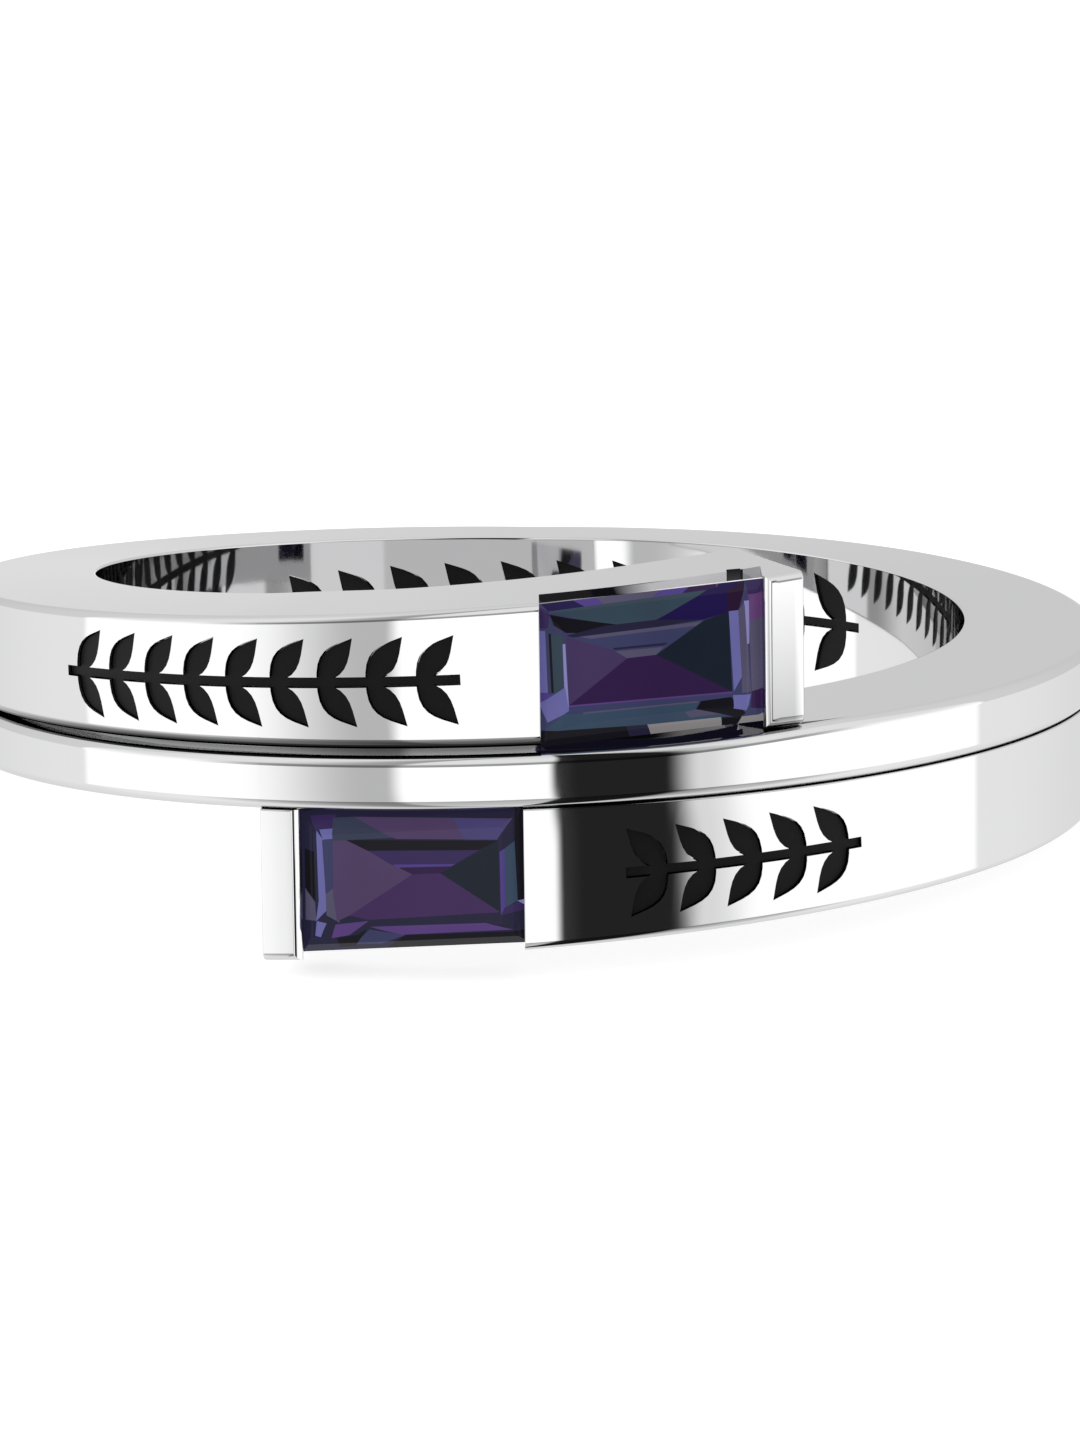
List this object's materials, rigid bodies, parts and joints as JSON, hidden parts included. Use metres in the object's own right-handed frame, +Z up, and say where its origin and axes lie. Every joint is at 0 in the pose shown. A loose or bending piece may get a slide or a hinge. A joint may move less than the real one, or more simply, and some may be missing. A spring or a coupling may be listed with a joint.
{
  "type": "finger ring",
  "caption": "Bypass ring in polished silver whose coiled ends overlap at the front, each with a violet step-cut oblong stone and a black enamel leaf sprig.",
  "frame": {"origin": "centre of the bounding box at the height of the table that the ring lies on", "axes": "+Z up from the table, -Y towards the front with the stones, +X to the right seen from the front"},
  "size_m": [0.0226, 0.023, 0.0071],
  "materials": {
    "silver": "mirror polish",
    "gem": "polished facets",
    "enamel": "satin black"
  },
  "bodies": {
    "root": {"band": "silver", "upper_stone": "gem", "lower_stone": "gem", "upper_enamel": "enamel", "lower_enamel": "enamel", "inside_enamel": "enamel"}
  },
  "joints": []
}
